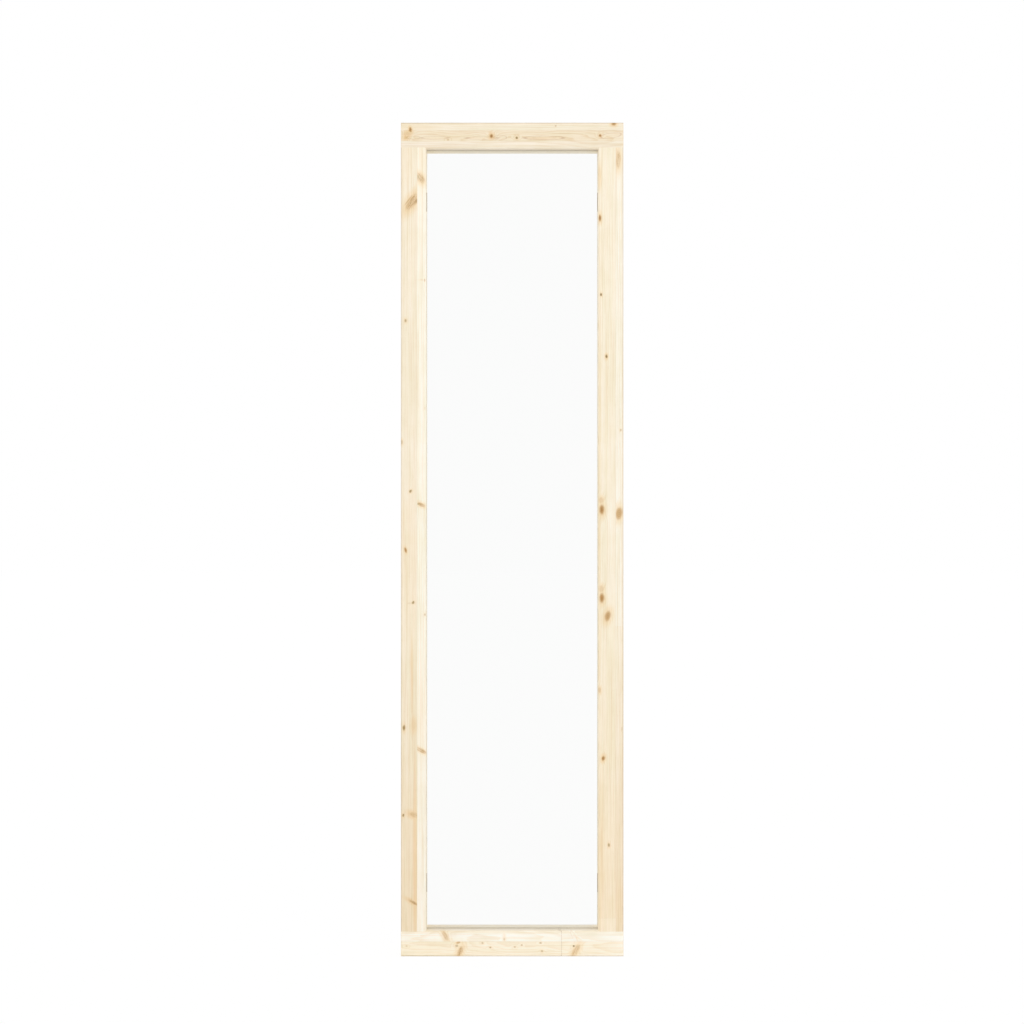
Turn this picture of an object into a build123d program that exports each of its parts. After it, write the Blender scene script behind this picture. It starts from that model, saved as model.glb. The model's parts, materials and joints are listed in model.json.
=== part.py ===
"""Tall fixed window: a frame of laminated pine round one large pane of toughened glass.

The top and bottom rails run the full width and the stiles stand between them. Each corner is
a bridle joint with two tenons, and the rounded inner arris is mitred there, so that the joint
line on the face lies at the foot of the rounding. The pane stands in a rebate behind a flange
on the front, on blocks and between foam tapes, and deep mitred beads hold it from the back.

X runs along the width, Y from the front (weather side) to the back, Z up. The origin is the
middle of the bottom rail's underside. Millimetres.
"""

import os

from build123d import *

# Whole frame
WIDTH = 590.0
HEIGHT = 2210.0
DEPTH = 68.0

# Faces of the members, from the outer edge to the sight line
STILE_FACE = 67.0
RAIL_FACE = 70.0

# Section of a member
FLANGE_DEPTH = 18.0
REBATE_HEIGHT = 16.0
INNER_ROUND = 4.0
OUTER_ROUND = 3.0

# Corner joint, front to back: front cheek as deep as the flange, tenon, web, tenon, back cheek
TENON = 12.0
WEB = 12.0

# Pane, foam tapes and beads
PANE = 6.0
EDGE_CLEARANCE = 4.0
GLASS_ARRIS = 0.8
TAPE = 3.0
BEAD_ROUND = 4.0
BEAD_ARRIS = 1.0

# Glazing blocks
SETTING_BLOCK_LENGTH = 100.0
SETTING_BLOCK_FROM_MIDDLE = 140.0
BLOCK_LENGTH = 50.0
SIDE_BLOCK_FROM_BOTTOM = 192.0
SIDE_BLOCK_FROM_TOP = 208.0
SIDE_BLOCK_PROUD = 1.4
SIDE_BLOCK_LIP = 2.0

# Planes of the section, front to back
FRONT = -DEPTH / 2
BACK = DEPTH / 2
REBATE_FRONT = FRONT + FLANGE_DEPTH
PANE_FRONT = REBATE_FRONT + TAPE
PANE_BACK = PANE_FRONT + PANE
BEAD_FRONT = PANE_BACK + TAPE
FIRST_TENON_FRONT = REBATE_FRONT
SECOND_TENON_FRONT = FIRST_TENON_FRONT + TENON + WEB

# Rectangles seen from the front, as (half width, lowest Z, highest Z)
FRAME = (WIDTH / 2, 0.0, HEIGHT)
SIGHT = (WIDTH / 2 - STILE_FACE, RAIL_FACE, HEIGHT - RAIL_FACE)


def grown(rectangle, margin):
    """The rectangle with every side moved outwards by margin."""
    half, low, high = rectangle
    return (half + margin, low - margin, high + margin)


PLATFORM = grown(SIGHT, REBATE_HEIGHT)
GLASS = grown(PLATFORM, -EDGE_CLEARANCE)
SHOULDER = grown(SIGHT, INNER_ROUND)


def slab(rectangle, front, back):
    """A block that fills a rectangle of the front view from one Y plane to another."""
    half, low, high = rectangle
    return block(-half, half, front, back, low, high)


def block(x0, x1, y0, y1, z0, z1):
    """A block between two corners."""
    return Pos((x0 + x1) / 2, (y0 + y1) / 2, (z0 + z1) / 2) * Box(x1 - x0, y1 - y0, z1 - z0)


def prism(points, front, back):
    """A prism along Y over a polygon of (X, Z) points."""
    outline = Polyline(*[(x, z) for x, z in points], close=True)
    section = Plane.XZ.offset(-front) * make_face(outline)
    return extrude(section, -(back - front))


def rim(shape, y, rectangle):
    """The four edges of a shape that lie on a rectangle of the front view, in the plane Y = y."""
    half, low, high = rectangle
    found = []
    for edge in shape.edges():
        middle = edge.position_at(0.5)
        on_side = abs(abs(middle.X) - half) < 0.01 and low < middle.Z < high
        on_end = min(abs(middle.Z - low), abs(middle.Z - high)) < 0.01 and abs(middle.X) < half
        if abs(middle.Y - y) < 0.01 and (on_side or on_end):
            found.append(edge)
    return found


def frame_blank():
    """The four members as one ring, with its flange, rebate and rounded arrises."""
    ring = slab(FRAME, FRONT, BACK) - slab(SIGHT, FRONT, BACK)
    ring -= slab(PLATFORM, REBATE_FRONT, BACK)
    ring = fillet(rim(ring, FRONT, SIGHT), INNER_ROUND)
    return fillet(rim(ring, FRONT, FRAME) + rim(ring, BACK, FRAME), OUTER_ROUND)


def stile_region():
    """The space of the left stile within the ring: its flange layer with mitred shoulders, its
    body between the platforms of the rails, and its two tenons at each end."""
    half, low, high = SHOULDER
    sight_half, sight_low, sight_high = SIGHT
    flange_layer = prism(
        [
            (-WIDTH / 2, low),
            (-half, low),
            (-sight_half, sight_low),
            (-sight_half, sight_high),
            (-half, high),
            (-WIDTH / 2, high),
        ],
        FRONT,
        REBATE_FRONT,
    )
    body_half, body_low, body_high = PLATFORM
    region = flange_layer + block(
        -WIDTH / 2, -body_half, REBATE_FRONT, BACK, body_low, body_high
    )
    for front in (FIRST_TENON_FRONT, SECOND_TENON_FRONT):
        region += block(-WIDTH / 2, -body_half, front, front + TENON, 0.0, HEIGHT)
    return region


def frame_members():
    """Both stiles and both rails, cut from the ring so that their joints fit face to face."""
    ring = frame_blank()
    left_region = stile_region()
    right_region = mirror(left_region, about=Plane.YZ)
    half_height = HEIGHT / 2
    rails = ring - left_region - right_region
    low_half = block(-WIDTH, WIDTH, -DEPTH, DEPTH, 0.0, half_height)
    high_half = block(-WIDTH, WIDTH, -DEPTH, DEPTH, half_height, HEIGHT)
    return {
        "left_stile": ring & left_region,
        "right_stile": ring & right_region,
        "bottom_rail": rails & low_half,
        "top_rail": rails & high_half,
    }


def mitred_sides(ring, inner, outer, front, back):
    """Cuts a ring that lies between two rectangles into four sides with mitred ends."""
    half_in, low_in, high_in = inner
    half_out, low_out, high_out = outer
    corners_in = [(-half_in, low_in), (half_in, low_in), (half_in, high_in), (-half_in, high_in)]
    corners_out = [
        (-half_out, low_out),
        (half_out, low_out),
        (half_out, high_out),
        (-half_out, high_out),
    ]
    sides = {}
    for index, name in enumerate(("bottom", "right", "top", "left")):
        following = (index + 1) % len(corners_in)
        outline = [
            corners_out[index],
            corners_out[following],
            corners_in[following],
            corners_in[index],
        ]
        sides[name] = ring & prism(outline, front, back)
    return sides


def glazing_beads():
    """Mitred beads on the platform, flush with the back of the frame."""
    ring = slab(PLATFORM, BEAD_FRONT, BACK) - slab(SIGHT, BEAD_FRONT, BACK)
    ring = fillet(rim(ring, BACK, SIGHT), BEAD_ROUND)
    ring = fillet(rim(ring, BACK, PLATFORM), BEAD_ARRIS)
    sides = mitred_sides(ring, SIGHT, PLATFORM, BEAD_FRONT, BACK)
    return {f"glazing_bead_{name}": side for name, side in sides.items()}


def glass_pane():
    """The sheet of glass with its ground arrises."""
    sheet = slab(GLASS, PANE_FRONT, PANE_BACK)
    return chamfer(rim(sheet, PANE_FRONT, GLASS) + rim(sheet, PANE_BACK, GLASS), GLASS_ARRIS)


def side_block_heights():
    """Lowest and highest Z of the side blocks, lower pair and upper pair."""
    heights = {}
    for name, middle in (
        ("lower", SIDE_BLOCK_FROM_BOTTOM),
        ("upper", HEIGHT - SIDE_BLOCK_FROM_TOP),
    ):
        heights[name] = (middle - BLOCK_LENGTH / 2, middle + BLOCK_LENGTH / 2)
    return heights


def tape_strips(name, front, back, recesses):
    """Foam tape round the glass in one joint. In its front face the side strips have recesses,
    given by lowest and highest Z, for the lips of the side blocks."""
    half, low, high = SIGHT
    glass_half, glass_low, glass_high = GLASS
    side = block(-glass_half, -half, front, back, glass_low, glass_high)
    for recess_low, recess_high in recesses:
        side -= block(
            -glass_half, -half, front, front + SIDE_BLOCK_LIP, recess_low, recess_high
        )
    return {
        f"{name}_tape_bottom": block(-half, half, front, back, glass_low, low),
        f"{name}_tape_top": block(-half, half, front, back, high, glass_high),
        f"{name}_tape_left": side,
        f"{name}_tape_right": mirror(side, about=Plane.YZ),
    }


def setting_blocks():
    """Two blocks on the bottom platform that carry the pane, and two that steady its top."""
    made = {}
    platform_low, platform_high = PLATFORM[1:]
    for side, sign in (("left", -1), ("right", 1)):
        middle = sign * SETTING_BLOCK_FROM_MIDDLE
        for name, length, low in (
            ("setting", SETTING_BLOCK_LENGTH, platform_low),
            ("top", BLOCK_LENGTH, platform_high - EDGE_CLEARANCE),
        ):
            made[f"{name}_block_{side}"] = block(
                middle - length / 2,
                middle + length / 2,
                REBATE_FRONT,
                BEAD_FRONT,
                low,
                low + EDGE_CLEARANCE,
            )
    return made


def side_blocks():
    """Angled blocks that centre the pane between the stiles. The leg fills the edge clearance
    and the lip lies between flange and tape, where its end shows past the sight line."""
    made = {}
    half = SIGHT[0]
    platform_half = PLATFORM[0]
    glass_half = GLASS[0]
    for height, (low, high) in side_block_heights().items():
        leg = block(-platform_half, -glass_half, REBATE_FRONT, BEAD_FRONT, low, high)
        lip = block(
            -platform_half,
            -half + SIDE_BLOCK_PROUD,
            REBATE_FRONT,
            REBATE_FRONT + SIDE_BLOCK_LIP,
            low,
            high,
        )
        left = leg + lip
        made[f"side_block_left_{height}"] = left
        made[f"side_block_right_{height}"] = mirror(left, about=Plane.YZ)
    return made


def window():
    """Every piece of the window by its name."""
    pieces = frame_members()
    pieces.update(glazing_beads())
    pieces["glass_pane"] = glass_pane()
    recesses = side_block_heights().values()
    pieces.update(tape_strips("outer", REBATE_FRONT, PANE_FRONT, recesses))
    pieces.update(tape_strips("inner", PANE_BACK, BEAD_FRONT, []))
    pieces.update(setting_blocks())
    pieces.update(side_blocks())
    return pieces


def write(pieces):
    """One STEP file per piece."""
    os.makedirs("parts", exist_ok=True)
    for name, shape in pieces.items():
        export_step(shape, f"parts/{name}.step")


write(window())
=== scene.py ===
"""Studio scene of a tall fixed window: laminated pine, a clear pane, and a plain white studio.

Every pine piece gets a solid wood material that is worked out in the piece's own coordinates:
along the grain, across the face from the outer edge, and in depth from the front face, all in
millimetres. Growth rings, knots, glue lines and finger joints are shapes in that space, so they
carry on over the edges and round to the sides and the back.
"""

import json
import math
from dataclasses import dataclass

import bmesh
import bpy
from mathutils import Matrix, Vector


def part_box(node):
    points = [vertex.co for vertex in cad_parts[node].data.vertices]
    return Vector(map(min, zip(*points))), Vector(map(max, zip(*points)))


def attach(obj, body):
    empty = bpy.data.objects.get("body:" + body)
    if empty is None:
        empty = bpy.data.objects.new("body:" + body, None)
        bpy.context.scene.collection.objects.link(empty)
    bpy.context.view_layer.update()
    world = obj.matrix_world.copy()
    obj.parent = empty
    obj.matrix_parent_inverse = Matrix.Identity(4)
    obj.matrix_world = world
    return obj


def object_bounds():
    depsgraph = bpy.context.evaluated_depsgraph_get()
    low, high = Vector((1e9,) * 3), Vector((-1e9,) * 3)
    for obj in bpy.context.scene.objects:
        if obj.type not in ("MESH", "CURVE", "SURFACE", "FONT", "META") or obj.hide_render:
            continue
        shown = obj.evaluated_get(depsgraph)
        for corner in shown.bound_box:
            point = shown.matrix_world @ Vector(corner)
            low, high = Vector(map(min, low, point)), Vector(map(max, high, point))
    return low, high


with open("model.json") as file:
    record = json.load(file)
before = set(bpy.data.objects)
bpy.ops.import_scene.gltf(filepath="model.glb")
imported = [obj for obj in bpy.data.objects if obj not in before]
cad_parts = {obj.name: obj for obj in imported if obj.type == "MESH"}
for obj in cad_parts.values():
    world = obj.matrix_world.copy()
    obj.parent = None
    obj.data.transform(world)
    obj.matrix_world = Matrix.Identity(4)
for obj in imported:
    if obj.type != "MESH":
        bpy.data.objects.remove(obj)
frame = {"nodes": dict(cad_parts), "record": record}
cad_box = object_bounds()

MM = 0.001
WHITE = (1.0, 1.0, 1.0, 1.0)

# The photograph: its width and the window's outer edges in pixels, the camera's sensor, its
# distance from the front in metres, and how far behind the front the outline lies that it sees
IMAGE_WIDTH_PX = 1024
SENSOR_WIDTH_MM = 36.0
WINDOW_LEFT_PX = 400.95
WINDOW_RIGHT_PX = 623.45
WINDOW_BOTTOM_PX = 956.2
CAMERA_DISTANCE = 4.84
OUTLINE_BEHIND_FRONT = 0.003

# Light: what a white surface that faces the front receives adds up to about 1. The light from all
# round falls to its ceiling share where the direction's Z is CEILING_Z, and grows by the side gain
# as its X goes from one end of SIDE_RANGE to the other.
AMBIENT = 0.87
CEILING_SHARE = 0.48
CEILING_Z = 0.9
SIDE_GAIN = 0.70
SIDE_RANGE = (0.2, 0.95)
FRONT_LIGHT = 0.323
BACK_LIGHT = 0.16
LAMP_ANGLE = math.radians(90)

# Glass: what light keeps on its way through, and how much stronger its mirror image is than that
# of one surface
GLASS_TINT = (0.981, 0.983, 0.981, 1.0)
GLASS_MIRROR = 1.6

# Floor, in metres: its own glow, the part that follows light and shadow, and what it throws back
FLOOR_SIZE = 60.0
FLOOR_DROP = 0.0002
FLOOR_GLOW = 0.91
FLOOR_LIT_SHARE = 0.12
FLOOR_BOUNCE = 0.98


def srgb(red, green, blue):
    """A colour given as 0 to 255 screen values, as the linear values that Blender takes."""
    linear = []
    for value in (red, green, blue):
        share = value / 255
        if share <= 0.04045:
            linear.append(share / 12.92)
        else:
            linear.append(((share + 0.055) / 1.055) ** 2.4)
    return (*linear, 1.0)


def grey(value):
    """A grey of the given linear value."""
    return (value, value, value, 1.0)


class Tree:
    """Adds nodes to a node tree and links them, in short calls."""

    def __init__(self, owner):
        owner.use_nodes = True
        self.nodes = owner.node_tree.nodes
        self.links = owner.node_tree.links
        self.nodes.clear()

    def node(self, kind, **settings):
        made = self.nodes.new(kind)
        for name, value in settings.items():
            setattr(made, name, value)
        return made

    def feed(self, socket, value):
        """Links a socket's value, or sets a plain one."""
        if isinstance(value, bpy.types.NodeSocket):
            self.links.new(value, socket)
        else:
            socket.default_value = value

    def math(self, operation, *values, clamp=False):
        made = self.node("ShaderNodeMath", operation=operation, use_clamp=clamp)
        for socket, value in zip(made.inputs, values):
            self.feed(socket, value)
        return made.outputs[0]

    def vector(self, operation, *values):
        made = self.node("ShaderNodeVectorMath", operation=operation)
        for socket, value in zip(made.inputs, values):
            self.feed(socket, value)
        return made.outputs["Value" if operation == "LENGTH" else "Vector"]

    def split(self, vector):
        made = self.node("ShaderNodeSeparateXYZ")
        self.feed(made.inputs[0], vector)
        return made.outputs[0], made.outputs[1], made.outputs[2]

    def join(self, x, y, z):
        made = self.node("ShaderNodeCombineXYZ")
        for socket, value in zip(made.inputs, (x, y, z)):
            self.feed(socket, value)
        return made.outputs[0]

    def smooth(self, value, start, end, low=0.0, high=1.0):
        """A smooth step of value from low at start to high at end."""
        made = self.node("ShaderNodeMapRange", interpolation_type="SMOOTHSTEP")
        for socket, fed in zip(made.inputs, (value, start, end, low, high)):
            self.feed(socket, fed)
        return made.outputs[0]

    def noise(self, vector, detail=2.0, roughness=0.5):
        made = self.node("ShaderNodeTexNoise")
        self.feed(made.inputs["Vector"], vector)
        made.inputs["Scale"].default_value = 1.0
        made.inputs["Detail"].default_value = detail
        made.inputs["Roughness"].default_value = roughness
        return made

    def ramp(self, value, stops):
        made = self.node("ShaderNodeValToRGB")
        elements = made.color_ramp.elements
        while len(elements) < len(stops):
            elements.new(0.5)
        for element, (position, colour) in zip(elements, stops):
            element.position = position
            element.color = colour
        self.feed(made.inputs[0], value)
        return made.outputs[0]

    def mix(self, share, a, b, blend="MIX"):
        made = self.node("ShaderNodeMix", data_type="RGBA", blend_type=blend)
        self.feed(made.inputs[0], share)
        self.feed(made.inputs[6], a)
        self.feed(made.inputs[7], b)
        return made.outputs[2]

    def centred(self, colour):
        """A noise colour as a vector round zero."""
        return self.vector("SUBTRACT", colour, (0.5, 0.5, 0.5))

    def tint(self, colour, tint):
        """The colour multiplied by a tint."""
        return self.mix(1.0, colour, tint, blend="MULTIPLY")

    def mix_values(self, share, a, b):
        made = self.node("ShaderNodeMix", data_type="FLOAT")
        self.feed(made.inputs[0], share)
        self.feed(made.inputs[2], a)
        self.feed(made.inputs[3], b)
        return made.outputs[0]

    def mix_vectors(self, share, a, b):
        made = self.node("ShaderNodeMix", data_type="VECTOR")
        self.feed(made.inputs[0], share)
        self.feed(made.inputs[4], a)
        self.feed(made.inputs[5], b)
        return made.outputs[1]

    def place(self, vector, location, turn, scale):
        """The vector in a frame with the given place, turn and size."""
        made = self.node("ShaderNodeMapping", vector_type="TEXTURE")
        self.feed(made.inputs["Vector"], vector)
        made.inputs["Location"].default_value = location
        made.inputs["Rotation"].default_value = turn
        made.inputs["Scale"].default_value = scale
        return made.outputs[0]


@dataclass(frozen=True)
class Lamella:
    """One of the boards that a member is glued up from, in millimetres: how far across the face
    it reaches, its tone at the member's start and from the middle on, where across and in depth
    its pith lies, how wide its growth rings are, and how strongly they show."""

    edge: float
    tone_start: tuple
    tone_end: tuple
    pith: tuple
    ring: float
    figure: float = 1.0


@dataclass(frozen=True)
class Joint:
    """A finger joint of one lamella, or of all where lamella is None: its place, how dark its
    line is, and the tint of the wood before it."""

    lamella: int | None
    place: float
    line: float = 0.15
    before: tuple = WHITE


@dataclass(frozen=True)
class Knot:
    """A branch in the wood: where it meets the front face, its half length and half width
    there, how dark it is, its turn from the grain and its lean into the depth in degrees, and
    how deep it goes. core, halo and bend say how strongly the knot itself, the warm wood round
    it and the bent rings beside it show. A fan is a branch cut lengthwise, with streaks along
    it. A twig is greyer, with less warm wood round it."""

    along: float
    across: float
    length: float
    width: float
    dark: float
    turn: float = 0.0
    lean: float = 12.0
    depth: float = 85.0
    core: float = 1.0
    halo: float = 1.0
    bend: float = 1.0
    fan: bool = False
    twig: bool = False


def streak(along, across, length, width, halo):
    """A long soft streak of warmer wood with no branch in it."""
    return Knot(along, across, length, width, dark=0.0, core=0.0, halo=halo, bend=0.0)


@dataclass(frozen=True)
class Loop:
    """Growth rings that are cut flat and close into a loop on the front face. line and fill say
    how strongly its edge and its inside show."""

    along: float
    across: float
    length: float
    width: float
    turn: float = 0.0
    line: float = 0.5
    fill: float = 0.3


@dataclass(frozen=True)
class Member:
    """How a piece of wood lies in the window. axes gives the window's axes in the order along,
    across, depth; signs and starts turn them into the piece's own millimetres."""

    axes: tuple
    signs: tuple
    starts: tuple
    length: float
    lamellas: tuple
    joints: tuple = ()
    knots: tuple = ()
    loops: tuple = ()
    seed: float = 0.0


# Latewood tints what is under it, and a knot goes from its pale rim to its dark heart
LATEWOOD = (0.90, 0.82, 0.69, 1.0)
HALO = srgb(247, 222, 178)
KNOT_PALE = srgb(222, 190, 144)
KNOT_BROWN = srgb(185, 141, 87)
KNOT_DARK = srgb(112, 84, 54)
TWIG_GLOW = 0.32
KNOT_GLOW = 0.45
TWIG_TINT = (0.88, 1.06, 1.22, 1.0)
RING_BROWN = srgb(196, 152, 104)
GLUE_BROWN = srgb(168, 138, 98)

# Distances in a knot's own size: how much farther off it is outside its lamella, and the one
# where there is no knot
OFF_LAMELLA = 10.0
NO_KNOT = 9.0

# Loops, in millimetres: half the depth, and how far from the edge its line fades and is full
LOOP_DEPTH = 6.0
LOOP_LINE = (0.8, 0.1)

# How close together the rings in a knot are
KNOT_RINGS = 22.0

# Growth rings, in millimetres. In each block of wood the pith's place and the rings' width differ
# from its lamella's by up to half of PITH_SPREAD. Along the grain the pith wanders by up to half
# of PITH_WANDER, about once in WANDER_LENGTH, and the rings waver by RIPPLE.
PITH_SPREAD = (26.0, 20.0, 0.7)
PITH_WANDER = (50.0, 40.0, 0.0)
WANDER_LENGTH = 420.0
RIPPLE = 2.4

# Bead pins: radius and height of the head from its foot inside the wood to its crown, in
# millimetres, and their places in metres
PIN_PROFILE = ((0.6, -1.2), (1.0, -0.1), (1.0, 0.05), (0.8, 0.13), (0.4, 0.17))
PIN_SIDES = 12
PIN_FROM_END = 0.07
PIN_SPACING = 0.25

# Finger joints in millimetres: the fingers' length and pitch, and half the width of the line.
# Behind the front face the line is wider along the grain, because the flanks of the fingers run
# nearly along it: by FLANK_GAIN for each millimetre of depth, as far as FLANK_START.
FINGER_LENGTH = 10.0
FINGER_PITCH = 3.8
JOINT_LINE = 0.3
FLANK_START = 0.3
FLANK_GAIN = 2.5

# Half the width of a glue line in millimetres, and how dark it is
GLUE_LINE = 0.22
GLUE_SHADE = 0.22

# The share of a member's length over which its tone changes
TONE_DRIFT = 0.5

# Radius of the eased outer arrises in millimetres, and the tint of the painted shade on them, where
# their rounding turns from the light
ARRIS = 3.0
ARRIS_PAINTED_SHADE = (0.81, 0.79, 0.77, 1.0)

# The last lamella ends past the far edge of every member
FACE_END = 80.0

# Rings and fibres darken the wood on average, so its tones are lifted by as much
TONE_LIFT = (0.995, 1.01, 1.06, 1.0)
LOOP_TINT = (1.015, 0.985, 0.95, 1.0)
END_TINT = (0.84, 0.78, 0.68, 1.0)

WIDTH = (cad_box[1][0] - cad_box[0][0]) / MM
DEPTH = (cad_box[1][1] - cad_box[0][1]) / MM
HEIGHT = (cad_box[1][2] - cad_box[0][2]) / MM
HALF_WIDTH = WIDTH / 2
HALF_DEPTH = DEPTH / 2

LEFT_STILE = Member(
    axes=(2, 0, 1),
    signs=(1, 1, 1),
    starts=(0, HALF_WIDTH, HALF_DEPTH),
    length=HEIGHT,
    lamellas=(
        Lamella(43.0, (240, 222, 190), (247, 235, 210), (112, 26), 2.4),
        Lamella(FACE_END, (251, 242, 223), (252, 244, 223), (130, -18), 3.2, figure=0.55),
    ),
    knots=(
        Knot(2001, 30, 31, 11.5, 0.28, turn=33, depth=16, halo=1.1, fan=True),
        Knot(2002, 41, 16, 4.5, 0.75, turn=31, depth=12, fan=True),
        Knot(2004, 20, 20, 2.4, 0.25, turn=38, depth=10, core=0.7, halo=0.2, bend=0),
        Knot(2063, 52, 17, 9.5, 0.20, turn=-30, depth=14, core=0.85, halo=1.1, fan=True),
        Knot(2066, 46.5, 7, 2.6, 0.15, turn=-20, depth=9, core=0.7, halo=0.3, bend=0, twig=True),
        Knot(1792, 63.4, 4.4, 1.9, 0.45, core=0.55, halo=0.4, twig=True),
        Knot(1793, 56, 1.8, 7.0, 0.0, core=0.16, halo=0.3, bend=0),
        Knot(1685, 12.5, 5.0, 3.2, 0.35, core=0.85, twig=True),
        Knot(1453, 63.5, 4.0, 2.0, 0.0, halo=0.4, core=0.2, bend=0.3, twig=True),
        Knot(1363, 2.6, 6.5, 2.8, 0.0, core=0.6, twig=True),
        Knot(1233, 25.5, 5.0, 4.0, 0.45, turn=35, twig=True),
        Knot(1197, 54, 11.0, 5.0, 0.40, turn=-62, depth=14, fan=True),
        Knot(1199, 46.2, 3.4, 2.6, 0.55, turn=-62, depth=12, core=0.8, halo=0.2, twig=True),
        Knot(1077, 12.5, 8.4, 3.7, 0.50, turn=-14),
        Knot(938, 32.5, 4.6, 4.0, 0.45, turn=30, twig=True),
        Knot(936, 23.5, 2.4, 7.5, 0.1, core=0.22, halo=0.2, bend=0),
        Knot(906, 64, 4.0, 2.4, 0.10, core=0.6, halo=0.6, twig=True),
        Knot(612, 34, 14, 6.0, 0.0, core=0.16, halo=0.8, fan=True),
        Knot(606, 8.2, 9.0, 4.1, 0.62, twig=True),
        Knot(546, 54, 17, 5.4, 0.24, turn=-60, depth=15, fan=True),
        Knot(374, 6.4, 4.8, 3.0, 0.60, twig=True),
        Knot(375, 35, 14, 7.0, 0.05, turn=-72, depth=14, core=0.7, halo=1.2, fan=True),
        Knot(143, 33, 17, 4.2, 0.50, turn=-60, depth=14, fan=True),
        streak(2118, 56, 60, 9.0, halo=0.4),
        streak(2118, 14, 40, 12.0, halo=0.2),
        streak(1050, 18, 110, 12.0, halo=0.3),
        streak(1060, 34, 120, 4.0, halo=0.35),
        streak(760, 29, 60, 2.0, halo=0.8),
        streak(640, 57, 70, 8.0, halo=0.4),
        streak(260, 37.5, 150, 3.2, halo=1.0),
    ),
    seed=1.0,
)

RIGHT_STILE = Member(
    axes=(2, 0, 1),
    signs=(1, -1, 1),
    starts=(0, HALF_WIDTH, HALF_DEPTH),
    length=HEIGHT,
    lamellas=(
        Lamella(20.6, (243, 226, 196), (251, 243, 223), (-46, 44), 2.8),
        Lamella(FACE_END, (247, 230, 199), (249, 238, 213), (104, -26), 2.8),
    ),
    joints=(
        Joint(None, 101, 0.10, (1.02, 1.04, 1.08, 1.0)),
        Joint(0, 122, 0.06, (1.03, 1.07, 1.14, 1.0)),
        Joint(0, 875, 0.08, (0.99, 0.97, 0.94, 1.0)),
    ),
    knots=(
        Knot(2113, 14, 26, 7.4, 0.08, depth=16, core=0.75, halo=1.1, fan=True),
        Knot(2065, 64.0, 22, 3.4, 0.0, core=0.0, halo=1.0),
        Knot(1957, 62.5, 11, 3.8, 0.62),
        Knot(1754, 59.6, 5.0, 2.8, 0.92, twig=True),
        Knot(1590, 45.3, 5.6, 3.5, 0.80, halo=1.6, twig=True),
        Knot(1395, 7.4, 4.4, 2.8, 0.20, core=0.62, halo=0.4, twig=True),
        Knot(1184, 57.5, 15.0, 7.2, 0.52),
        Knot(1209, 59.5, 8.5, 6.0, 0.0, core=0.42, halo=0.9),
        Knot(1174, 12.0, 17.5, 9.8, 0.14, turn=-8, depth=60),
        Knot(950, 57.5, 14.5, 7.2, 0.52),
        Knot(974, 58.5, 9.5, 6.6, 0.0, core=0.40, halo=0.9),
        Knot(902, 42.0, 15.5, 8.2, 0.28, turn=-14),
        Knot(706, 63.5, 7.5, 3.8, 0.0, halo=0.9, core=0.5),
        Knot(602, 4.8, 7.0, 2.0, 0.2, core=0.35, halo=0.3, twig=True),
        Knot(525, 53.8, 7.6, 4.8, 0.60, turn=-12, halo=1.2),
        Knot(295, 38.7, 5.6, 3.1, 0.45, core=0.85, twig=True),
        streak(1200, 64.2, 1400, 1.9, halo=0.55),
        streak(1105, 2.4, 1400, 1.6, halo=0.4),
        streak(255, 60, 110, 5.5, halo=0.35),
        streak(148, 12, 26, 7.5, halo=0.3),
    ),
    seed=2.0,
)

TOP_RAIL = Member(
    axes=(0, 2, 1),
    signs=(1, -1, 1),
    starts=(0, HEIGHT, HALF_DEPTH),
    length=WIDTH,
    lamellas=(
        Lamella(20.0, (246, 235, 211), (246, 235, 211), (60, 66), 2.6),
        Lamella(48.5, (242, 227, 198), (242, 227, 198), (41, 62), 2.2, figure=1.6),
        Lamella(FACE_END, (244, 231, 208), (244, 231, 207), (20, -80), 3.1),
    ),
    knots=(
        Knot(-270, 18.2, 4.2, 6.8, 0.56, turn=-12, halo=1.5),
        Knot(-270, 20.4, 4.2, 6.4, 0.56, turn=-12, halo=1.3),
        Knot(-277, 31, 13, 6.5, 0.0, turn=-62, core=0.24, halo=1.2, fan=True),
        Knot(-170, 45.5, 2.6, 2.3, 0.20, core=0.6, halo=0.4, twig=True),
        Knot(-55, 35.8, 5.2, 6.4, 0.72, halo=1.2),
        Knot(12, 40.6, 3.7, 3.8, 0.70, twig=True),
        Knot(115, 9.0, 2.4, 2.4, 0.20, turn=-30, core=0.7, halo=0.4, twig=True),
        Knot(233, 34.6, 3.9, 4.3, 0.62, halo=0.8),
        Knot(269, 3.8, 6.8, 4.8, 0.42, halo=1.4),
        streak(-268, 11, 40, 6.5, halo=0.4),
        streak(0, 1.6, 400, 1.8, halo=0.35),
    ),
    loops=(
        Loop(84, 40.6, 52, 4.8, line=0.48, fill=0.6),
        Loop(84, 41.0, 30, 2.8, line=0.2, fill=0.6),
        Loop(262, 34.5, 27, 6.8, turn=-8, line=0.40, fill=0.1),
        Loop(-205, 40.5, 36, 3.6, line=0.35, fill=0.5),
        Loop(-80, 41, 42, 3.4, line=0.35, fill=0.5),
        Loop(-32, 40, 17, 6.0, line=0.35, fill=0.0),
        Loop(-262, 40, 18, 4.0, line=0.3, fill=0.0),
    ),
    seed=3.0,
)

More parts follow.
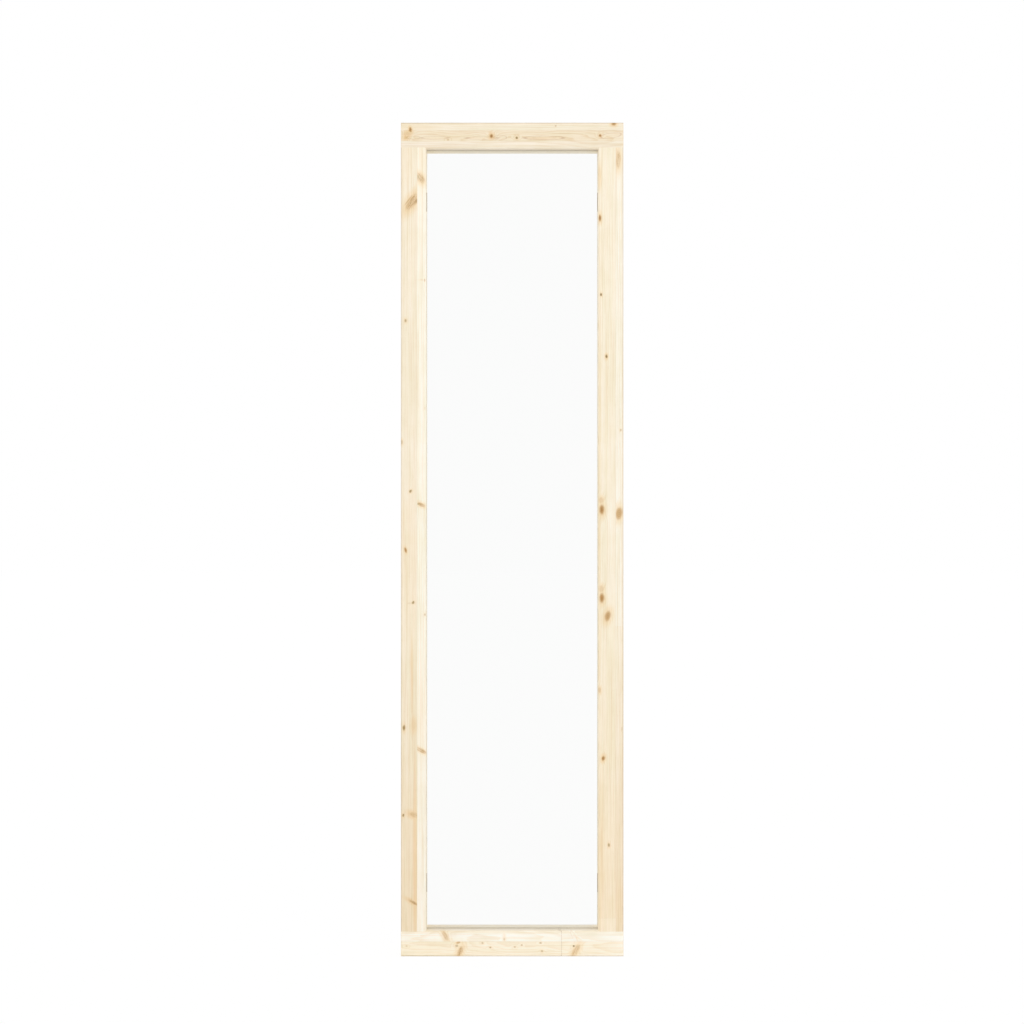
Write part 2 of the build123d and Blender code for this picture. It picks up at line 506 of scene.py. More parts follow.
BOTTOM_RAIL = Member(
    axes=(0, 2, 1),
    signs=(1, 1, 1),
    starts=(0, 0, HALF_DEPTH),
    length=WIDTH,
    lamellas=(
        Lamella(39.5, (249, 238, 212), (251, 241, 218), (24, -56), 2.9),
        Lamella(FACE_END, (253, 246, 229), (254, 249, 234), (54, -70), 3.3),
    ),
    joints=(Joint(None, 131, 0.75, (0.995, 0.99, 0.985, 1.0)),),
    knots=(
        Knot(-280, 27.6, 3.0, 2.0, 0.10, halo=0.5, core=0.5, twig=True),
        Knot(-177, 54, 15, 6.6, 0.10, turn=-62, depth=15, halo=0.9, core=0.8, fan=True),
        Knot(-143, 37, 6.0, 3.8, 0.20, turn=20, halo=0.9, core=0.8),
        Knot(-147, 28.4, 4.4, 3.6, 0.20, halo=0.8, core=0.7, twig=True),
        Knot(-138, 13, 16, 7.0, 0.34, turn=66, depth=20, halo=0.9, core=0.9, fan=True),
        Knot(-79, 35.8, 3.0, 2.5, 0.20, core=0.75, halo=0.6, twig=True),
        Knot(-58, 23.9, 3.2, 2.6, 0.30, core=0.85, halo=0.8, twig=True),
        Knot(-21, 45.3, 2.4, 3.2, 0.05, halo=0.5, core=0.5, twig=True),
        Knot(-21, 50.0, 3.0, 10.0, 0.0, halo=0.5, core=0.12, bend=0),
        Knot(7, 24.9, 2.8, 2.4, 0.15, core=0.62, halo=0.6, twig=True),
        Knot(25, 30.2, 2.6, 2.2, 0.20, core=0.65, halo=0.5, twig=True),
        Knot(75, 35.8, 3.4, 2.3, 0.20, core=0.7, halo=0.5, twig=True),
        Knot(79, 14.1, 3.2, 2.8, 0.20, core=0.75, halo=0.8, twig=True),
        Knot(163, 27.6, 3.4, 2.8, 0.80, halo=0.9, twig=True),
        Knot(174, 26.2, 2.6, 2.0, 0.25, core=0.6, halo=0.4, twig=True),
        Knot(168, 15, 21, 7.4, 0.12, turn=60, depth=20, halo=0.9, core=0.75, fan=True),
        Knot(172, 50, 24, 3.0, 0.0, core=0.0, halo=0.4, turn=-50),
        streak(0, 69.0, 340, 4.6, halo=0.45),
    ),
    loops=(
        Loop(166, 48, 22, 5.0, turn=-62, line=0.16, fill=0.0),
        Loop(168, 46, 12, 2.6, turn=-62, line=0.12, fill=0.1),
    ),
    seed=4.0,
)

BEAD_TONES = ((249, 238, 215), (252, 243, 222))
# Painted light: the top bead, whose face looks down into the opening, gets lighter tones than the
# other beads
TOP_BEAD_PAINTED_LIGHT_TONES = ((255, 244, 217), (255, 246, 222))
BEAD_RING = 2.4
BEAD_PITH = (-30, 26)
BEAD_PITH_STEP = 9


def bead(side, seed, tones=BEAD_TONES):
    """A glazing bead: one plain strip of pine, measured from the frame that it lies against."""
    low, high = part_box(f"glazing_bead_{side}")
    upright = side in ("left", "right")
    axis = 0 if upright else 2
    from_low = side in ("left", "bottom")
    pith = (BEAD_PITH[0] - BEAD_PITH_STEP * seed, BEAD_PITH[1])
    return Member(
        axes=(2, 0, 1) if upright else (0, 2, 1),
        signs=(1, 1 if from_low else -1, 1),
        starts=(0, (-low[axis] if from_low else high[axis]) / MM, HALF_DEPTH),
        length=HEIGHT if upright else WIDTH,
        lamellas=(Lamella(FACE_END, *tones, pith, BEAD_RING),),
        seed=seed,
    )


WOOD = {
    "left_stile": LEFT_STILE,
    "right_stile": RIGHT_STILE,
    "top_rail": TOP_RAIL,
    "bottom_rail": BOTTOM_RAIL,
    "glazing_bead_left": bead("left", 5.0),
    "glazing_bead_right": bead("right", 6.0),
    # The top bead's lighter tones are painted light on its downward face
    "glazing_bead_top": bead("top", 7.0, TOP_BEAD_PAINTED_LIGHT_TONES),
    "glazing_bead_bottom": bead("bottom", 8.0),
}


def member_point(tree, member):
    """The shaded point in the member's own millimetres: along, across and depth."""
    coordinates = tree.node("ShaderNodeTexCoord")
    parts = tree.split(coordinates.outputs["Object"])
    ordered = tree.join(*(parts[axis] for axis in member.axes))
    scale = tuple(sign / MM for sign in member.signs)
    return tree.vector("MULTIPLY_ADD", ordered, scale, member.starts)


def end_grain(tree, member):
    """1 where the surface is cut square across the grain."""
    coordinates = tree.node("ShaderNodeTexCoord")
    parts = tree.split(coordinates.outputs["Normal"])
    facing = tree.math("ABSOLUTE", parts[member.axes[0]])
    return tree.smooth(facing, 0.75, 0.95)


def lamella_steps(tree, member, across):
    """For each glue line, 1 on its far side and 0 on its near side."""
    return [tree.math("GREATER_THAN", across, one.edge) for one in member.lamellas[:-1]]


def lamella_masks(tree, steps, count):
    """For each lamella, 1 inside it and 0 outside."""
    if count == 1:
        return [1.0]
    masks = [tree.math("SUBTRACT", 1.0, steps[0])]
    for index in range(1, count - 1):
        masks.append(tree.math("SUBTRACT", steps[index - 1], steps[index]))
    masks.append(steps[-1])
    return masks


def total(tree, values, start=0.0):
    """The sum of the values."""
    result = start
    for value in values:
        result = tree.math("ADD", result, value)
    return result


def largest(tree, values):
    """The largest of the values, and at least 0."""
    result = 0.0
    for value in values:
        result = tree.math("MAXIMUM", result, value)
    return result


def by_lamella(steps, values, blend):
    """The value that belongs to the lamella in which the point lies."""
    result = values[0]
    for step, value in zip(steps, values[1:]):
        result = blend(step, result, value)
    return result


def finger_joints(tree, member, along, depth, masks):
    """How many finger joints lie before the point in its lamella, the joint lines, and the tint
    of the wood. Fingers zigzag through the depth and are a straight line on the front face."""
    half_pitch = FINGER_PITCH / 2
    wave = tree.math("PINGPONG", depth, half_pitch)
    shifted = tree.math("MULTIPLY_ADD", wave, FINGER_LENGTH / half_pitch, along)
    flank = tree.math("MINIMUM", wave, FLANK_START)
    reach = tree.math("MULTIPLY_ADD", flank, FLANK_GAIN, JOINT_LINE)
    passed = []
    lines = []
    tint = WHITE
    for joint in member.joints:
        mask = 1.0 if joint.lamella is None else masks[joint.lamella]
        beyond = tree.math("GREATER_THAN", shifted, joint.place)
        passed.append(tree.math("MULTIPLY", beyond, mask))
        before = tree.math("MULTIPLY", tree.math("SUBTRACT", 1.0, beyond), mask)
        tint = tree.mix(before, tint, joint.before)
        gap = tree.math("ABSOLUTE", tree.math("SUBTRACT", shifted, joint.place))
        line = tree.math("MULTIPLY", tree.math("LESS_THAN", gap, reach), mask)
        lines.append(tree.math("MULTIPLY", line, joint.line))
    return total(tree, passed), largest(tree, lines), tint


@dataclass
class Branches:
    """Fields of all knots and loops of a member at the shaded point."""

    core: object
    twig: object
    dark: object
    halo: object
    bend: object
    loop_line: object
    loop_fill: object
    nearest: object


def lamella_of(member, across):
    """The number of the lamella in which a place across the face lies."""
    return sum(1 for one in member.lamellas[:-1] if across > one.edge)


def reach_from(tree, point, outside, centre, turn, size):
    """The point in the frame of an ellipsoid, and how far out it is, with 1 at the surface. Off
    the ellipsoid's lamella it is far out, so that nothing crosses a glue line."""
    local = tree.place(point, centre, turn, size)
    reach = tree.math("MULTIPLY_ADD", outside, OFF_LAMELLA, tree.vector("LENGTH", local))
    return local, reach


def fan_streaks(tree, local, knot):
    """Streaks along a branch that is cut lengthwise."""
    along_fan = tree.vector("MULTIPLY", local, (0.7, 4.2, 2.0))
    shifted = tree.vector("ADD", along_fan, (knot.along, knot.across, 0.0))
    noise = tree.noise(shifted, detail=2.0).outputs[0]
    return tree.smooth(noise, 0.34, 0.60, low=0.25)


def loop_shares(tree, member, bent_point, outside):
    """How strongly the lines and the insides of the member's loops show at the point."""
    lines = []
    fills = []
    for loop in member.loops:
        off = outside[lamella_of(member, loop.across)]
        centre = (loop.along, loop.across, 0.0)
        turn = (0.0, 0.0, math.radians(loop.turn))
        size = (loop.length, loop.width, LOOP_DEPTH)
        reach = reach_from(tree, bent_point, off, centre, turn, size)[1]
        edge_gap = tree.math("ABSOLUTE", tree.math("SUBTRACT", reach, 1.0))
        faint, full = (distance / loop.width for distance in LOOP_LINE)
        lines.append(tree.smooth(edge_gap, faint, full, high=loop.line))
        fills.append(tree.smooth(reach, 1.0, 0.9, high=loop.fill))
    return largest(tree, lines), largest(tree, fills)


def branches(tree, member, point, masks):
    """What the member's knots and loops do at the point."""
    cores = []
    twigs = []
    darks = []
    halos = []
    bends = []
    nearest = NO_KNOT
    wobble = tree.noise(tree.vector("MULTIPLY", point, (0.16, 0.22, 0.22)), detail=3.0)
    shift = tree.centred(wobble.outputs["Color"])
    bent_point = tree.vector("MULTIPLY_ADD", shift, (3.6, 2.4, 2.4), point)
    outside = [tree.math("SUBTRACT", 1.0, mask) for mask in masks]
    for knot in member.knots:
        off = outside[lamella_of(member, knot.across)]
        centre = (knot.along, knot.across, 0.0)
        turn = (0.0, math.radians(knot.lean), math.radians(knot.turn))
        size = (knot.length, knot.width, knot.depth)
        local, reach = reach_from(tree, bent_point, off, centre, turn, size)
        if knot.core:
            core = tree.smooth(reach, 1.20, 0.55, high=knot.core)
            heart = tree.smooth(reach, 1.05, 0.10, high=knot.dark)
            if knot.fan:
                core = tree.math("MULTIPLY", core, fan_streaks(tree, local, knot))
            cores.append(core)
            if knot.twig:
                twigs.append(core)
            darks.append(tree.math("MULTIPLY", heart, core))
            nearest = tree.math("MINIMUM", nearest, reach)
        if knot.halo:
            glow = TWIG_GLOW if knot.twig else KNOT_GLOW
            halos.append(tree.smooth(reach, 2.6, 0.7, high=knot.halo * glow))
        if knot.bend:
            wide = (knot.length * 3.2 + 6, knot.width * 2.4 + 2, knot.depth * 1.2)
            flow = reach_from(tree, point, off, centre, turn, wide)[1]
            push = knot.bend * (1.6 + 0.55 * knot.width)
            bends.append(tree.smooth(flow, 1.0, 0.0, high=push))
    loop_line, loop_fill = loop_shares(tree, member, bent_point, outside)
    return Branches(
        core=largest(tree, cores),
        twig=largest(tree, twigs),
        dark=largest(tree, darks),
        halo=largest(tree, halos),
        bend=total(tree, bends),
        loop_line=loop_line,
        loop_fill=loop_fill,
        nearest=nearest,
    )


def block_of_wood(tree, member, steps, passed):
    """The block between glue lines and finger joints in which the point lies: its random numbers,
    and a number that keeps its noise apart from that of other blocks."""
    index = total(tree, steps, start=member.seed * 10)
    chance = tree.node("ShaderNodeTexWhiteNoise", noise_dimensions="2D")
    tree.feed(chance.inputs["Vector"], tree.join(index, passed, 0.0))
    lane = tree.math("MULTIPLY_ADD", passed, 3.7, tree.math("MULTIPLY", index, 5.3))
    return chance.outputs["Color"], lane


def rings_out(tree, member, point, steps, chance, lane, bend):
    """How many growth rings lie between the pith and the point."""
    along, across, depth = tree.split(point)
    piths = [(*one.pith, one.ring) for one in member.lamellas]
    pith = by_lamella(steps, piths, tree.mix_vectors)
    pith = tree.vector("MULTIPLY_ADD", tree.centred(chance), PITH_SPREAD, pith)
    slow_along = tree.math("DIVIDE", along, WANDER_LENGTH)
    slow = tree.noise(tree.join(slow_along, lane, 0.0), detail=2.0)
    wander = tree.centred(slow.outputs["Color"])
    pith = tree.vector("MULTIPLY_ADD", wander, PITH_WANDER, pith)
    pith_across, pith_depth, ring = tree.split(pith)
    off_across = tree.math("SUBTRACT", across, pith_across)
    off_depth = tree.math("SUBTRACT", depth, pith_depth)
    radius = tree.vector("LENGTH", tree.join(off_across, off_depth, 0.0))
    radius = tree.math("ADD", radius, bend)
    ripple = tree.noise(tree.vector("MULTIPLY", point, (0.014, 0.12, 0.12)), detail=2.0)
    radius = tree.math("MULTIPLY_ADD", ripple.outputs[0], RIPPLE, radius)
    return tree.math("DIVIDE", radius, ring)


def ring_profile(tree, rings, lane):
    """Latewood share at the point, and how uneven the rings are. The wood darkens slowly through
    a ring and turns pale at once where the next one begins."""
    uneven = tree.noise(tree.join(tree.math("MULTIPLY", rings, 0.45), lane, 3.0), detail=1.0)
    phase = tree.math("MULTIPLY_ADD", uneven.outputs[0], 1.6, rings)
    late = tree.ramp(
        tree.math("FRACT", phase),
        (
            (0.0, grey(0.05)),
            (0.50, grey(0.12)),
            (0.84, grey(0.85)),
            (0.93, WHITE),
            (1.0, grey(0.05)),
        ),
    )
    return late, uneven.outputs[0]


def base_tone(tree, member, along, steps, chance):
    """The wood's tone: each lamella's own, which drifts over the first part of the member's
    length, and a little warmer or cooler from block to block."""
    first = -member.length / 2 if member.axes[0] == 0 else 0.0
    share = tree.smooth(along, first, first + TONE_DRIFT * member.length)
    tones = [tree.mix(share, srgb(*one.tone_start), srgb(*one.tone_end)) for one in member.lamellas]
    colour = by_lamella(steps, tones, tree.mix)
    colour = tree.tint(colour, TONE_LIFT)
    warm = tree.ramp(tree.split(chance)[1], ((0.0, (1.0, 0.995, 0.985, 1.0)), (1.0, WHITE)))
    return tree.tint(colour, warm)


def streaked(tree, colour, point):
    """The colour with long streaks that turn pinkish, greenish yellow or darker, and with
    soft clouds across them."""
    broad = tree.noise(tree.vector("MULTIPLY", point, (0.0022, 0.10, 0.10)), detail=2.0)
    hue = tree.ramp(
        broad.outputs[0],
        (
            (0.32, (1.05, 1.055, 1.07, 1.0)),
            (0.46, (1.045, 1.035, 1.03, 1.0)),
            (0.56, (1.02, 1.025, 1.0, 1.0)),
            (0.70, (1.0, 0.965, 0.90, 1.0)),
        ),
    )
    colour = tree.tint(colour, hue)
    moved = tree.vector("ADD", point, (310.0, 70.0, 0.0))
    narrow = tree.noise(tree.vector("MULTIPLY", moved, (0.0045, 0.34, 0.34)), detail=2.0)
    shade = tree.ramp(
        narrow.outputs[0],
        (
            (0.30, (1.05, 1.06, 1.09, 1.0)),
            (0.50, (1.02, 1.03, 1.04, 1.0)),
            (0.68, (0.97, 0.945, 0.90, 1.0)),
        ),
    )
    colour = tree.tint(colour, shade)
    cloud = tree.noise(tree.vector("MULTIPLY", point, (0.016, 0.045, 0.045)), detail=2.0)
    patch = tree.ramp(
        cloud.outputs[0],
        ((0.35, (1.015, 1.015, 1.03, 1.0)), (0.65, (0.99, 0.98, 0.955, 1.0))),
    )
    return tree.tint(colour, patch)


def with_knots(tree, colour, knots, fibres):
    """The colour with the knots, the warm wood round them and the loops drawn in."""
    warmed = tree.tint(colour, HALO)
    colour = tree.mix(knots.halo, colour, warmed)
    flat_grain = tree.tint(colour, LOOP_TINT)
    colour = tree.mix(knots.loop_fill, colour, flat_grain)
    colour = tree.mix(knots.loop_line, colour, RING_BROWN)
    tone = tree.ramp(knots.dark, ((0.0, KNOT_PALE), (0.5, KNOT_BROWN), (1.0, KNOT_DARK)))
    tone = tree.mix(knots.twig, tone, tree.tint(tone, TWIG_TINT))
    rings = tree.math("SINE", tree.math("MULTIPLY", knots.nearest, KNOT_RINGS))
    uneven = tree.math("MULTIPLY_ADD", rings, 0.16, fibres)
    grain = tree.ramp(uneven, ((0.25, (0.82, 0.78, 0.72, 1.0)), (0.75, (1.12, 1.1, 1.06, 1.0))))
    tone = tree.tint(tone, grain)
    return tree.mix(knots.core, colour, tone)


def with_arris_painted_shade(tree, colour, across, depth):
    """The colour with painted shade on the eased outer arrises: darker where their rounding turns
    from the light.
    """
    corner = tree.math("MAXIMUM", across, depth)
    # Painted shade: full on the rounded outer arris, fading out just past its radius
    painted_shade = tree.smooth(corner, ARRIS + 0.8, ARRIS - 0.6, high=0.8)
    return tree.mix(painted_shade, colour, tree.tint(colour, ARRIS_PAINTED_SHADE))


def ring_strength(tree, member, steps, uneven, end):
    """How strongly the growth rings show: unevenly, more where a lamella has more figure, and
    more on end grain."""
    figures = [one.figure for one in member.lamellas]
    strength = tree.math("MULTIPLY_ADD", uneven, 0.5, 0.28)
    strength = tree.math("MULTIPLY", strength, by_lamella(steps, figures, tree.mix_values))
    return tree.math("MULTIPLY_ADD", end, 0.35, strength)


def fibre_noise(tree, point):
    """Fine fibres along the grain."""
    fine = tree.vector("MULTIPLY", point, (0.035, 1.7, 1.7))
    return tree.noise(fine, detail=3.0, roughness=0.6).outputs[0]


def with_fibres(tree, colour, point, fibres):
    """The colour with fine fibres and short dark resin ducts."""
    fibre_tint = tree.ramp(fibres, ((0.28, (0.94, 0.915, 0.87, 1.0)), (0.52, grey(1.01))))
    colour = tree.mix(0.7, colour, fibre_tint, blend="MULTIPLY")
    ducts = tree.noise(tree.vector("MULTIPLY", point, (0.09, 2.6, 2.6)), detail=0.0)
    duct_share = tree.smooth(ducts.outputs[0], 0.76, 0.84, high=0.35)
    return tree.mix(duct_share, colour, RING_BROWN)


def glue_lines(tree, member, across):
    """How dark the glue between two lamellas makes the point."""
    lines = []
    for one in member.lamellas[:-1]:
        gap = tree.math("ABSOLUTE", tree.math("SUBTRACT", across, one.edge))
        lines.append(tree.math("LESS_THAN", gap, GLUE_LINE))
    return tree.math("MULTIPLY", largest(tree, lines), GLUE_SHADE)


def relief(tree, late, fibres, line, core):
    """Height of the surface: latewood, fibres and knots stand out, and glue lines lie low."""
    height = tree.math("MULTIPLY_ADD", late, 0.5, fibres)
    height = tree.math("MULTIPLY_ADD", line, -3.0, height)
    return tree.math("MULTIPLY_ADD", core, 0.6, height)


def finish_surface(tree, colour, roughness, specular=0.5, metallic=0.0, bump=None):
    """Ends a material in one shader. bump is a height, its strength and its distance in metres."""
    surface = tree.node("ShaderNodeBsdfPrincipled")
    tree.feed(surface.inputs["Base Color"], colour)
    tree.feed(surface.inputs["Roughness"], roughness)
    surface.inputs["Specular IOR Level"].default_value = specular
    surface.inputs["Metallic"].default_value = metallic
    if bump:
        height, strength, distance = bump
        bumped = tree.node("ShaderNodeBump")
        bumped.inputs["Strength"].default_value = strength
        bumped.inputs["Distance"].default_value = distance
        tree.feed(bumped.inputs["Height"], height)
        tree.feed(surface.inputs["Normal"], bumped.outputs[0])
    output = tree.node("ShaderNodeOutputMaterial")
    tree.feed(output.inputs["Surface"], surface.outputs[0])


def pine(name, member):
    """Solid pine for one piece."""
    material = bpy.data.materials.new(f"pine_{name}")
    tree = Tree(material)
    point = member_point(tree, member)
    along, across, depth = tree.split(point)
    steps = lamella_steps(tree, member, across)
    masks = lamella_masks(tree, steps, len(member.lamellas))
    passed, joint_line, joint_tint = finger_joints(tree, member, along, depth, masks)
    knots = branches(tree, member, point, masks)
    chance, lane = block_of_wood(tree, member, steps, passed)
    rings = rings_out(tree, member, point, steps, chance, lane, knots.bend)
    late, uneven = ring_profile(tree, rings, lane)
    end = end_grain(tree, member)
    fibres = fibre_noise(tree, point)

    colour = base_tone(tree, member, along, steps, chance)
    colour = tree.tint(colour, joint_tint)
    colour = streaked(tree, colour, point)
    strength = ring_strength(tree, member, steps, uneven, end)
    ring_share = tree.math("MULTIPLY", late, strength, clamp=True)
    colour = tree.mix(ring_share, colour, tree.tint(colour, LATEWOOD))
    colour = with_fibres(tree, colour, point, fibres)
    colour = with_knots(tree, colour, knots, fibres)
    line = tree.math("MAXIMUM", glue_lines(tree, member, across), joint_line)
    colour = tree.mix(line, colour, GLUE_BROWN)
    end_share = tree.math("MULTIPLY", end, 0.8)
    colour = tree.mix(end_share, colour, tree.tint(colour, END_TINT))
    if len(member.lamellas) > 1:
        # Painted shade along the eased outer arrises
        colour = with_arris_painted_shade(tree, colour, across, depth)

    roughness = tree.math("MULTIPLY_ADD", fibres, 0.16, 0.50)
    roughness = tree.math("MULTIPLY_ADD", late, -0.06, roughness)
    height = relief(tree, late, fibres, line, knots.core)
    finish_surface(tree, colour, roughness, specular=0.3, bump=(height, 0.35, 0.00012))
    return material


def clear_glass():
    """Clear toughened glass: nearly all light goes straight through, and its outer faces mirror
    more the flatter they are seen."""
    material = bpy.data.materials.new("clear_glass")
    tree = Tree(material)
    through = tree.node("ShaderNodeBsdfTransparent")
    through.inputs["Color"].default_value = GLASS_TINT
    mirror = tree.node("ShaderNodeBsdfGlossy")
    mirror.inputs["Roughness"].default_value = 0.0
    mirror.inputs["Color"].default_value = WHITE
    fresnel = tree.node("ShaderNodeFresnel")
    fresnel.inputs["IOR"].default_value = 1.5
    geometry = tree.node("ShaderNodeNewGeometry")
    outward = tree.math("SUBTRACT", 1.0, geometry.outputs["Backfacing"])
    share = tree.math("MULTIPLY", fresnel.outputs[0], outward)
    share = tree.math("MULTIPLY", share, GLASS_MIRROR, clamp=True)
    mixed = tree.node("ShaderNodeMixShader")
    tree.feed(mixed.inputs[0], share)
    tree.feed(mixed.inputs[1], through.outputs[0])
    tree.feed(mixed.inputs[2], mirror.outputs[0])
    output = tree.node("ShaderNodeOutputMaterial")
    tree.feed(output.inputs["Surface"], mixed.outputs[0])
    return material


def object_point(tree, scale):
    """The shaded point in the piece's own coordinates, enlarged by scale."""
    coordinates = tree.node("ShaderNodeTexCoord")
    return tree.vector("MULTIPLY", coordinates.outputs["Object"], (scale, scale, scale))


def foam_tape():
    """Closed-cell foam with fine pores."""
    material = bpy.data.materials.new("foam_tape")
    tree = Tree(material)
    cells = tree.node("ShaderNodeTexVoronoi")
    tree.feed(cells.inputs["Vector"], object_point(tree, 1500.0))
    cells.inputs["Scale"].default_value = 1.0
    pores = cells.outputs["Distance"]
    colour = tree.ramp(pores, ((0.0, srgb(206, 192, 168)), (0.6, srgb(232, 221, 200))))
    finish_surface(tree, colour, 0.9, specular=0.2, bump=(pores, 0.5, 0.0002))
    return material


def block_plastic():
    """Moulded glazing blocks with a slightly uneven matt surface."""
    material = bpy.data.materials.new("block_plastic")
    tree = Tree(material)
    grain = tree.noise(object_point(tree, 400.0), detail=4.0).outputs[0]
    colour = tree.ramp(grain, ((0.3, srgb(160, 142, 116)), (0.7, srgb(176, 158, 130))))
    finish_surface(tree, colour, tree.math("MULTIPLY_ADD", grain, 0.2, 0.45))
    return material


def pin_steel():
    """Zinc-plated steel, dulled unevenly."""
    material = bpy.data.materials.new("pin_steel")
    tree = Tree(material)
    spots = tree.noise(object_point(tree, 2500.0), detail=3.0).outputs[0]
    colour = tree.ramp(spots, ((0.3, srgb(150, 150, 146)), (0.7, srgb(190, 190, 186))))
    finish_surface(tree, colour, tree.math("MULTIPLY_ADD", spots, 0.25, 0.25), metallic=1.0)
    return material


def pin_places(side):
    """Middles of the pin heads on the face of a bead that looks into the opening."""
    low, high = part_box(f"glazing_bead_{side}")
    upright = side in ("left", "right")
    along = 2 if upright else 0
    across = 0 if upright else 2
    face = high[across] if side in ("left", "bottom") else low[across]
    first = low[along] + PIN_FROM_END
    last = high[along] - PIN_FROM_END
    spaces = math.ceil((last - first) / PIN_SPACING)
    places = []
    for index in range(spaces + 1):
        place = [0.0, (low[1] + high[1]) / 2, 0.0]
        place[along] = first + (last - first) * index / spaces
        place[across] = face
        places.append(place)
    return places


def add_pin(shape, pose):
    """Adds one pin head: a turned profile, closed at its foot and its crown."""
    rings = []
    for radius, height in PIN_PROFILE:
        ring = []
        for step in range(PIN_SIDES):
            angle = 2 * math.pi * step / PIN_SIDES
            corner = (radius * math.cos(angle), radius * math.sin(angle), height)
            ring.append(shape.verts.new(pose @ (Vector(corner) * MM)))
        rings.append(ring)
    for lower, upper in zip(rings, rings[1:]):
        for step in range(PIN_SIDES):
            following = (step + 1) % PIN_SIDES
            shape.faces.new((lower[step], lower[following], upper[following], upper[step]))
    shape.faces.new(rings[-1])
    shape.faces.new(reversed(rings[0]))


def bead_pins():
    """The heads of the pins that hold the beads, as one joined mesh."""
    shape = bmesh.new()
    outward = {"left": (1, 0, 0), "right": (-1, 0, 0), "bottom": (0, 0, 1), "top": (0, 0, -1)}
    for side, direction in outward.items():
        facing = Vector((0, 0, 1)).rotation_difference(Vector(direction)).to_matrix().to_4x4()
        for place in pin_places(side):
            add_pin(shape, Matrix.Translation(place) @ facing)
    mesh = bpy.data.meshes.new("bead_pins")
    shape.to_mesh(mesh)
    shape.free()
    mesh.materials.append(pin_steel())
    pins = bpy.data.objects.new("bead_pins", mesh)
    bpy.context.scene.collection.objects.link(pins)
    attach(pins, "root")


def dress(node, material):
    """Gives a CAD node its material."""
    for slot in frame["nodes"][node].material_slots:
        slot.material = material


def dress_all():
    """Every node's material: its own pine for each wooden piece, and one for each other kind."""
    for node, member in WOOD.items():
        dress(node, pine(node, member))
    shared = {
        "clear_glass": clear_glass(),
        "foam_tape": foam_tape(),
        "block_plastic": block_plastic(),
    }
    for part in frame["record"]["subparts"]:
        if part["material_slot"] in shared:
            dress(part["node"], shared[part["material_slot"]])


def sees_white(tree):
    """1 for rays from the camera, a mirror or clear glass, which see the white studio."""
    path = tree.node("ShaderNodeLightPath")
    return largest(
        tree,
        [
            path.outputs["Is Camera Ray"],
            path.outputs["Is Glossy Ray"],
            path.outputs["Is Transmission Ray"],
        ],
    )


def studio_world():
    """White behind everything, and soft light from all round: more from the sides, less from
    above."""
    world = bpy.data.worlds.new("studio")
    bpy.context.scene.world = world
    tree = Tree(world)
    light = tree.node("ShaderNodeBackground")
    light.inputs["Color"].default_value = WHITE
    direction = tree.split(tree.node("ShaderNodeTexCoord").outputs["Generated"])
    ceiling = AMBIENT * CEILING_SHARE
    strength = tree.smooth(direction[2], 0.0, CEILING_Z, low=AMBIENT, high=ceiling)
    sideways = tree.math("ABSOLUTE", direction[0])
    gain = tree.smooth(sideways, *SIDE_RANGE, low=1.0, high=1.0 + SIDE_GAIN)
    tree.feed(light.inputs["Strength"], tree.math("MULTIPLY", strength, gain))
    white = tree.node("ShaderNodeBackground")
    white.inputs["Color"].default_value = WHITE
    white.inputs["Strength"].default_value = 1.0
    mixed = tree.node("ShaderNodeMixShader")
    tree.feed(mixed.inputs[0], sees_white(tree))
    tree.feed(mixed.inputs[1], light.outputs[0])
    tree.feed(mixed.inputs[2], white.outputs[0])
    output = tree.node("ShaderNodeOutputWorld")
    tree.feed(output.inputs["Surface"], mixed.outputs[0])


def studio_lamp(name, share, tilt, heading):
    """A broad soft lamp far away that adds share to what a white surface facing it shows."""
    lamp = bpy.data.lights.new(name, "SUN")
    lamp.energy = share * math.pi
    lamp.angle = LAMP_ANGLE
    made = bpy.data.objects.new(name, lamp)
    made.rotation_euler = (math.radians(tilt), 0.0, math.radians(heading))
    made.visible_glossy = False
    bpy.context.scene.collection.objects.link(made)


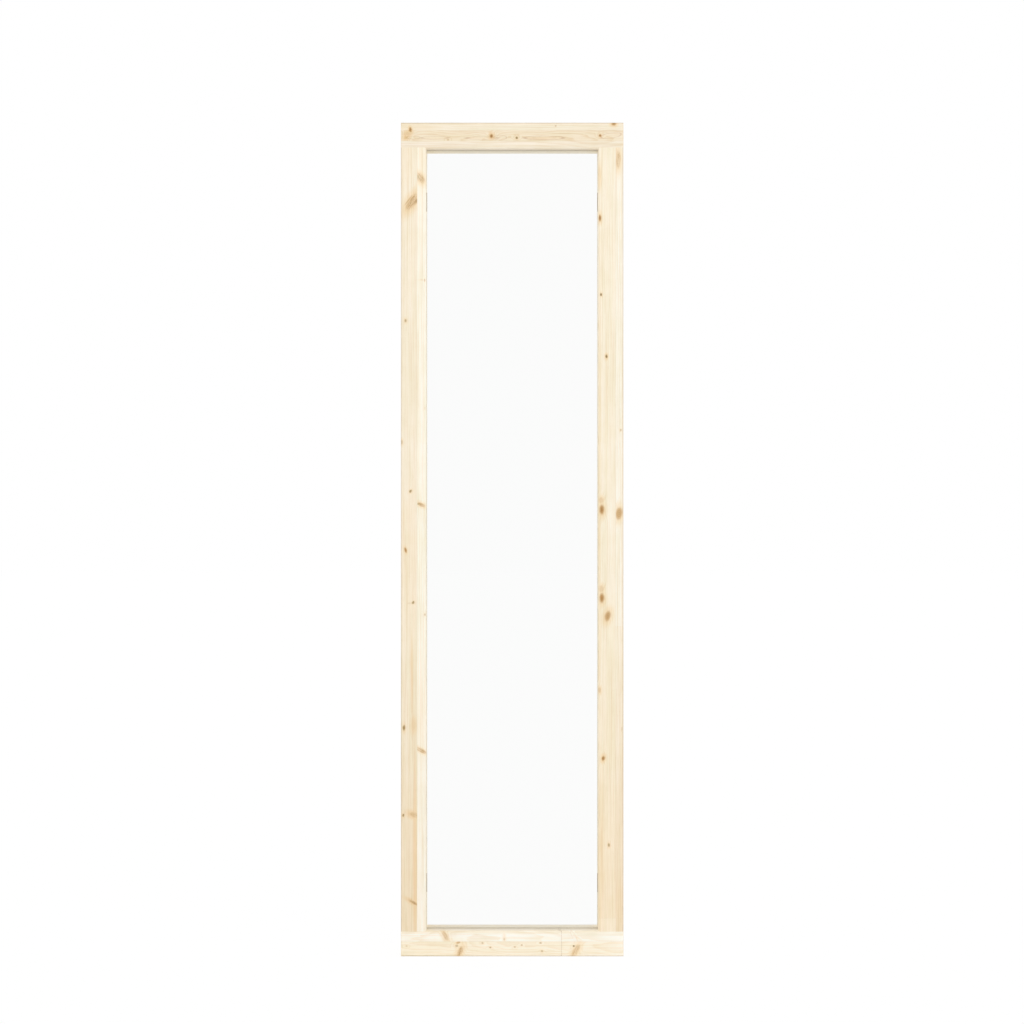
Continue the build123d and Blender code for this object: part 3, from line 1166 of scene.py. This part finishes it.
def floor_paint():
    """White for the camera, mirrors and glass, with the window's soft shadow in it, and plain
    paint for the light that it throws back."""
    material = bpy.data.materials.new("studio_floor")
    tree = Tree(material)
    glow = tree.node("ShaderNodeEmission")
    glow.inputs["Strength"].default_value = FLOOR_GLOW
    lit = tree.node("ShaderNodeBsdfDiffuse")
    lit.inputs["Color"].default_value = grey(FLOOR_LIT_SHARE)
    seen = tree.node("ShaderNodeAddShader")
    tree.feed(seen.inputs[0], glow.outputs[0])
    tree.feed(seen.inputs[1], lit.outputs[0])
    plain = tree.node("ShaderNodeBsdfDiffuse")
    plain.inputs["Color"].default_value = grey(FLOOR_BOUNCE)
    mixed = tree.node("ShaderNodeMixShader")
    tree.feed(mixed.inputs[0], sees_white(tree))
    tree.feed(mixed.inputs[1], plain.outputs[0])
    tree.feed(mixed.inputs[2], seen.outputs[0])
    output = tree.node("ShaderNodeOutputMaterial")
    tree.feed(output.inputs["Surface"], mixed.outputs[0])
    return material


def studio_floor():
    """A wide white floor just under the window."""
    mesh = bpy.data.meshes.new("studio_floor")
    shape = bmesh.new()
    bmesh.ops.create_grid(shape, x_segments=1, y_segments=1, size=FLOOR_SIZE / 2)
    shape.to_mesh(mesh)
    shape.free()
    mesh.materials.append(floor_paint())
    floor = bpy.data.objects.new("studio_floor", mesh)
    floor.location.z = -FLOOR_DROP
    bpy.context.scene.collection.objects.link(floor)


def studio_camera():
    """The photograph's view: level, square to the front and far away."""
    front = cad_box[0][1]
    per_pixel = WIDTH * MM / (WINDOW_RIGHT_PX - WINDOW_LEFT_PX)
    middle_px = IMAGE_WIDTH_PX / 2
    window_middle_px = (WINDOW_LEFT_PX + WINDOW_RIGHT_PX) / 2
    camera = bpy.data.cameras.new("camera")
    camera.sensor_width = SENSOR_WIDTH_MM
    field = per_pixel * IMAGE_WIDTH_PX
    camera.lens = SENSOR_WIDTH_MM * (CAMERA_DISTANCE + OUTLINE_BEHIND_FRONT) / field
    made = bpy.data.objects.new("camera", camera)
    made.location = (
        (middle_px - window_middle_px) * per_pixel,
        front - CAMERA_DISTANCE,
        (WINDOW_BOTTOM_PX - middle_px) * per_pixel,
    )
    made.rotation_euler = (math.radians(90), 0.0, 0.0)
    bpy.context.scene.collection.objects.link(made)
    bpy.context.scene.camera = made


def studio():
    """White room, lamps, floor and camera."""
    bpy.context.scene.view_settings.view_transform = "Standard"
    studio_world()
    studio_lamp("front_lamp", FRONT_LIGHT, tilt=88, heading=12)
    studio_lamp("back_lamp", BACK_LIGHT, tilt=84, heading=180)
    studio_floor()
    studio_camera()


dress_all()
bead_pins()
studio()
